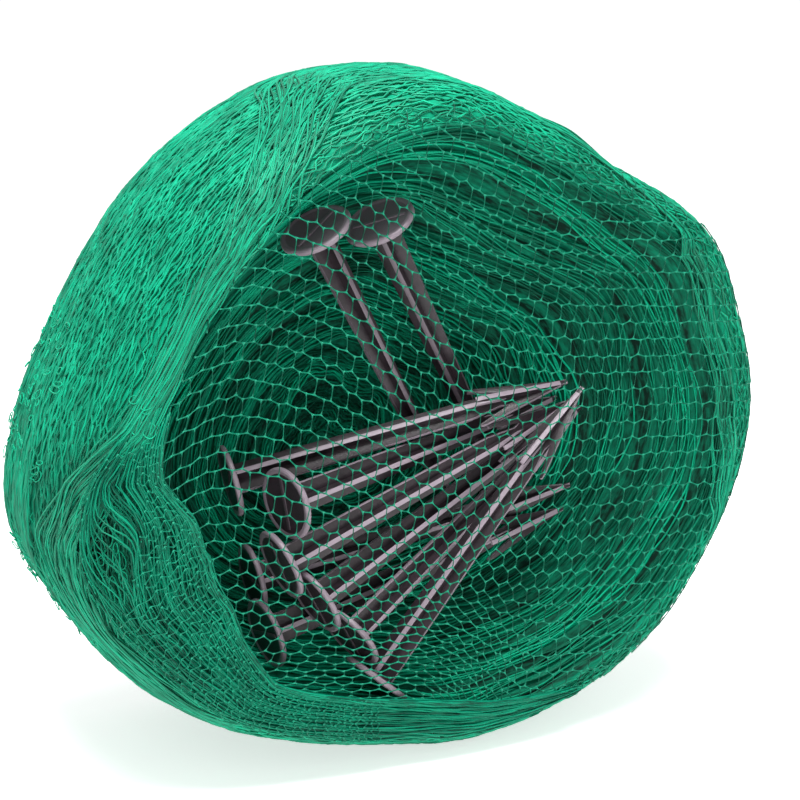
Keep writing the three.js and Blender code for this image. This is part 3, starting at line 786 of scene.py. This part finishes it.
# The turned fold. The edge of the drawn layer is doubled back at the lower left, several layers of net deep.
# Its threads lie squeezed together along the fold, part round a hollow, and are bunched on the inner edge.
# The fold's edges are rows of the angle and the distance in from the crest, or out from it.
FOLD = {"from": 170, "to": 294, "steps": 130, "radius": 0.36, "sides": 4}
FOLD_INNER = [[170, 0], [182, 4], [190, 17], [198, 27], [208, 25], [225, 12], [268, 9], [280, 4], [294, -3]]
FOLD_OUTER = [[170, 9], [182, 19], [194, 18], [202, 17], [210, 13], [218, 10], [240, 7], [294, 5]]
FOLD_LAYERS = [
    {"count": 30, "clear": 1.3, "from": 0.02, "to": 0.98},
    {"count": 28, "clear": 1.9, "from": 0.02, "to": 0.98},
    {"count": 24, "clear": 2.5, "from": 0.02, "to": 0.95},
    {"count": 18, "clear": 2.9, "from": 0.0, "to": 0.1},
]
FOLD_NET = {"rows": 54, "columns": 13, "clear": 3.3, "radius": 0.2, "knot": 0.3, "mean": 0.22, "tone": 0.55}
WINDOW = {"angle": 190, "past": 10, "width": 7.5, "round": 8, "turn": 1.6}


def fold_flat(share, across):
    """Flat places on the fold, from its start to its end and from its inner edge to its outer one. Threads
    part round the window: each moves out from its middle by the opening times its distance, over the root of
    the distance squared plus the turn squared. One that crosses the middle swings over in a curve."""
    angle = FOLD["from"] + (FOLD["to"] - FOLD["from"]) * share
    inner = -along(FOLD_INNER, angle)
    past = inner + (along(FOLD_OUTER, angle) - inner) * across
    from_middle = past - WINDOW["past"]
    opening = WINDOW["width"] * bell(angle - WINDOW["angle"], WINDOW["round"])
    past = past + opening * from_middle / np.hypot(from_middle, WINDOW["turn"])
    reach = crest_at(angle) + past
    return reach * np.cos(np.radians(angle)), reach * np.sin(np.radians(angle))


fold_rng = np.random.default_rng(5)
fold_share = np.linspace(0.0, 1.0, FOLD["steps"])[None]
fold_turn = 2 * pi * fold_share
fold_paths, fold_normals, fold_tones = [], [], []
for layer in FOLD_LAYERS:
    count = layer["count"]
    start = fold_rng.uniform(0, 2 * pi, (count, 4))
    across = fold_rng.uniform(layer["from"], layer["to"], (count, 1))
    across = across + waves(fold_turn, start, 0.03, (1, 3, 8))
    across = across + fold_rng.normal(0, 0.0015, across.shape)
    begin, end = fold_rng.uniform(0, 0.05, (count, 1)), fold_rng.uniform(0.86, 1, (count, 1))
    x, z = fold_flat(begin + (end - begin) * fold_share, np.clip(across, 0, 1))
    high = layer["clear"] + waves(fold_turn, start[:, ::-1], 0.3, (3, 7))
    path = drape(x, z, high)
    fold_paths.append(path)
    fold_normals.append(unit(drape(x, z, high + 1) - path))
    dashes = fold_rng.uniform(-0.2, 0.2, across.shape)
    fold_tones.append(fold_rng.uniform(0.1, 1.15, (count, 1)) + dashes)
fold_paths, fold_normals, fold_tones = (
    np.concatenate(part) for part in (fold_paths, fold_normals, fold_tones))
strand_corners, strand_faces = tubes(fold_paths, fold_normals, FOLD["radius"], FOLD["sides"], False)

# The fold's last layer still shows its flattened cells, in rows across the strands, but not at the window
net_row, net_column = np.meshgrid(np.linspace(0.05, 0.62, FOLD_NET["rows"]),
                                  np.linspace(0.03, 0.97, FOLD_NET["columns"]), indexing="ij")
odd = (np.arange(FOLD_NET["rows"])[:, None] + np.arange(FOLD_NET["columns"])) % 2
net_row = net_row + 0.0028 * (1 - 2 * odd) + 0.03 * net_column**2 + fold_rng.normal(0, 0.0012, net_row.shape)
net_column = net_column + fold_rng.normal(0, 0.012, net_column.shape)
x, z = fold_flat(net_row, net_column)
edge_x, edge_z, is_link = mesh_edges(x, z, bow=0.2, hang=0.1)
edge_angle = np.degrees(np.arctan2(edge_z, edge_x)) % 360
from_window = np.hypot(edge_x, edge_z) - crest_at(edge_angle) - WINDOW["past"]
in_window = bell(edge_angle - WINDOW["angle"], WINDOW["round"]) * bell(from_window, WINDOW["width"])
kept = in_window.max(1) < fold_rng.uniform(0.04, 0.3, len(edge_x))
edge_x, edge_z = edge_x[kept], edge_z[kept]
net_paths = drape(edge_x, edge_z, FOLD_NET["clear"])
net_normals = unit(drape(edge_x, edge_z, FOLD_NET["clear"] + 1) - net_paths)
thick = FOLD_NET["radius"] + (FOLD_NET["knot"] - FOLD_NET["radius"]) * at_knot
net_corners, net_faces = tubes(net_paths, net_normals, thick, FOLD["sides"], False)
strand_tones = np.repeat(fold_tones.ravel(), FOLD["sides"])
net_knots = np.repeat(np.broadcast_to(0.7 * at_knot, edge_x.shape).ravel(), FOLD["sides"])
fold_values = {"tone": np.concatenate([strand_tones, np.full(len(net_corners), FOLD_NET["tone"])]),
               "knot": np.concatenate([np.zeros(len(strand_corners)), net_knots])}
fold_corners = np.concatenate([strand_corners, net_corners])
fold_faces = np.concatenate([strand_faces, net_faces + len(strand_corners)])
fold_piece = add_piece("fold_threads", fold_corners, fold_faces, drawn_net, fold_values)
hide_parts("turned_fold")

# The ground pegs. Ten black-brown plastic pegs, moulded in one piece: a round flat head, a shank of two
# crossed fins, and a flat arrow point with a barb on each side. They lie loose in the pocket.
PEG = {"fin": 2.0, "corners": 40, "rounding": 0.005}  # the narrow rounding keeps flat faces flat
FIN_OUTLINE = [(1.4, 6.4), (106, 4.2), (119, 2.2), (122, 3.2), (107.6, 7.8), (107.9, 8.6), (110.5, 8.5),
               (150, 0.35)]  # down the shank, and out from it
RIDGE = {"long": 11, "wide": 0.8, "high": 0.4}
PEGS = [
    ((-59.5, -40.5, 82.5), (18.5, -12, -42.5), 23),
    ((-29, -36, 83.5), (48.5, -4.5, -41), 81),
    ((-88, -16.5, -22), (55.5, -46, 11), 37),
    ((-76.5, -46, -26), (68.5, -16.5, -2.5), 9),
    ((-78.5, -44.5, -51.5), (61.5, -41, 1.5), 0),
    ((-75.5, -9, -67), (71.5, -24.5, -40.5), 86),
    ((-78, -28, -85), (68, -24, -51), 80),
    ((-63.5, -44.5, -69), (70.5, -29.5, -3.5), 0),
    ((-48.5, -46.5, -86), (76.5, -24, -6), 14),
    ((-38, -49.5, -105), (59, -52.5, 9.5), 40),
]  # middle of the head, the point, and the turn of the fins about the shank
HEAD_PROFILE = [(0.01, 0.5), (11.6, 0.5), (12.6, 0.35), (13.4, 0.0), (14.3, 0.05), (14.9, 0.5), (15, 1.1),
                (14.9, 1.9), (14.4, 2.4), (13.4, 2.6), (8, 2.7), (0.01, 3.4)]  # out from the axis, and down
HEAD_RIM = slice(2, 8)  # its rows in the profile
# Painted highlights, where light from above falls: the head's rim and ridge, the head tops of the upper pegs,
# the fin edges of the lower ones
PAINTED_HIGHLIGHT = {"rim": 0.8, "underside": 0.1, "upper": (0.5, 0.4), "lower": (0.04, 1.0), "ridge": 0.15}
UPPER_PEGS = 2


def peg_shape(top_highlight, edge_highlight):
    """A peg with its head's top at the origin and its point on +Z: a turned head, a ridge across it, and two
    crossed fins cut from one outline. Each face has a number for how much painted highlight it takes."""
    turn = np.arange(PEG["corners"]) * 2 * pi / PEG["corners"]
    out, down = np.array(HEAD_PROFILE).T[:, :, None]
    head = np.stack(np.broadcast_arrays(out * np.cos(turn), out * np.sin(turn), down), -1)
    rows, columns = head.shape[:2]
    highlight = np.full((rows - 1, columns), top_highlight)
    highlight[HEAD_RIM] = PAINTED_HIGHLIGHT["rim"]
    head_faces = [*map(tuple, ring_faces(rows, columns)[:, ::-1]), tuple(range(columns))[::-1],
                  tuple(range(rows * columns - columns, rows * columns))]
    parts = [(head.reshape(-1, 3), head_faces, [*highlight.ravel(), top_highlight, PAINTED_HIGHLIGHT["underside"]])]
    ridge = np.array([(-1, -1, 0.6), (1, -1, 0.6), (1, 1, 0.6), (-1, 1, 0.6),
                      (-1, -1, -1), (1, -1, -1), (1, 1, -1), (-1, 1, -1)])
    ridge = ridge * (RIDGE["long"], RIDGE["wide"], RIDGE["high"]) + (0, 0, 0.5)
    parts.append((ridge, [(0, 1, 2, 3), (7, 6, 5, 4), (0, 4, 5, 1), (1, 5, 6, 2), (2, 6, 7, 3), (3, 7, 4, 0)],
                  [top_highlight + PAINTED_HIGHLIGHT["ridge"]] * 6))
    half = np.array(FIN_OUTLINE)
    outline = np.concatenate([half, half[::-1] * (1, -1)])
    count = len(outline)
    for across in (0, 1):
        points = np.zeros((2 * count, 3))
        points[:count, across] = points[count:, across] = outline[:, 1]
        points[:count, 1 - across] = PEG["fin"] / 2
        points[count:, 1 - across] = -PEG["fin"] / 2
        points[:count, 2] = points[count:, 2] = outline[:, 0]
        i = np.arange(count)
        j = (i + 1) % count
        sides = np.stack([i, j, j + count, i + count], -1)
        faces = [*map(tuple, sides), tuple(range(count))[::-1], tuple(range(count, 2 * count))]
        if across:  # its axes are swapped, which turns the faces inside out
            faces = [face[::-1] for face in faces]
        parts.append((points, faces, [edge_highlight] * count + [0, 0]))
    return parts


moulded_plastic, tree, shader = new_material("moulded_plastic", Specular_IOR_Level=0.4)
place = tree.nodes.new("ShaderNodeTexCoord").outputs["Object"]
edge = attribute_node(tree, "edge")
dyed = place_group(tree, uneven_dye, Place=place, Tone=0.5, Scale=160.0, Spread=1.0,
                   Dark=(0.008, 0.005, 0.007), Light=(0.027, 0.017, 0.023))
# the pale colour, set by the edge attribute, is painted highlight
tree.links.new(blend_node(tree, edge, dyed["Color"], (0.27, 0.22, 0.26)), shader.inputs["Base Color"])
fine = place_group(tree, fine_grain, Place=place, Scale=1500.0, Smooth=0.3, Rough=0.48, Depth=0.0001)
tree.links.new(fine["Roughness"], shader.inputs["Roughness"])
tree.links.new(fine["Normal"], shader.inputs["Normal"])

for number, (head, point, fins) in enumerate(PEGS, 1):
    axis = (Vector(point) - Vector(head)).normalized()
    turned = Vector((0, 0, 1)).rotation_difference(axis).to_matrix() @ Matrix.Rotation(radians(fins), 3, "Z")
    peg_points, peg_faces, peg_highlight = [], [], []
    for points, faces, highlight in peg_shape(*PAINTED_HIGHLIGHT["upper" if number <= UPPER_PEGS else "lower"]):
        start = sum(len(part) for part in peg_points)
        peg_points.append(points)
        peg_highlight.append(highlight)
        peg_faces.extend(tuple(int(corner) + start for corner in face) for face in faces)
    peg_points = np.concatenate(peg_points) @ np.array(turned).T + np.array(head)
    mesh = bpy.data.meshes.new(f"ground_peg_{number:02d}")
    mesh.from_pydata((peg_points * MM + ROLL_AXIS).tolist(), [], peg_faces)
    attribute = mesh.attributes.new("edge", "FLOAT", "FACE")
    attribute.data.foreach_set("value", np.concatenate(peg_highlight).astype(np.float32))
    mesh.materials.append(moulded_plastic)
    peg = bpy.data.objects.new(mesh.name, mesh)
    scene.collection.objects.link(peg)
    rounding = peg.modifiers.new("rounding", "BEVEL")
    rounding.width = PEG["rounding"] * MM
    rounding.segments = 2
    rounding.limit_method = "ANGLE"
    mesh.shade_smooth()
    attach(peg, "root")
    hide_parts(f"peg_{number:02d}")
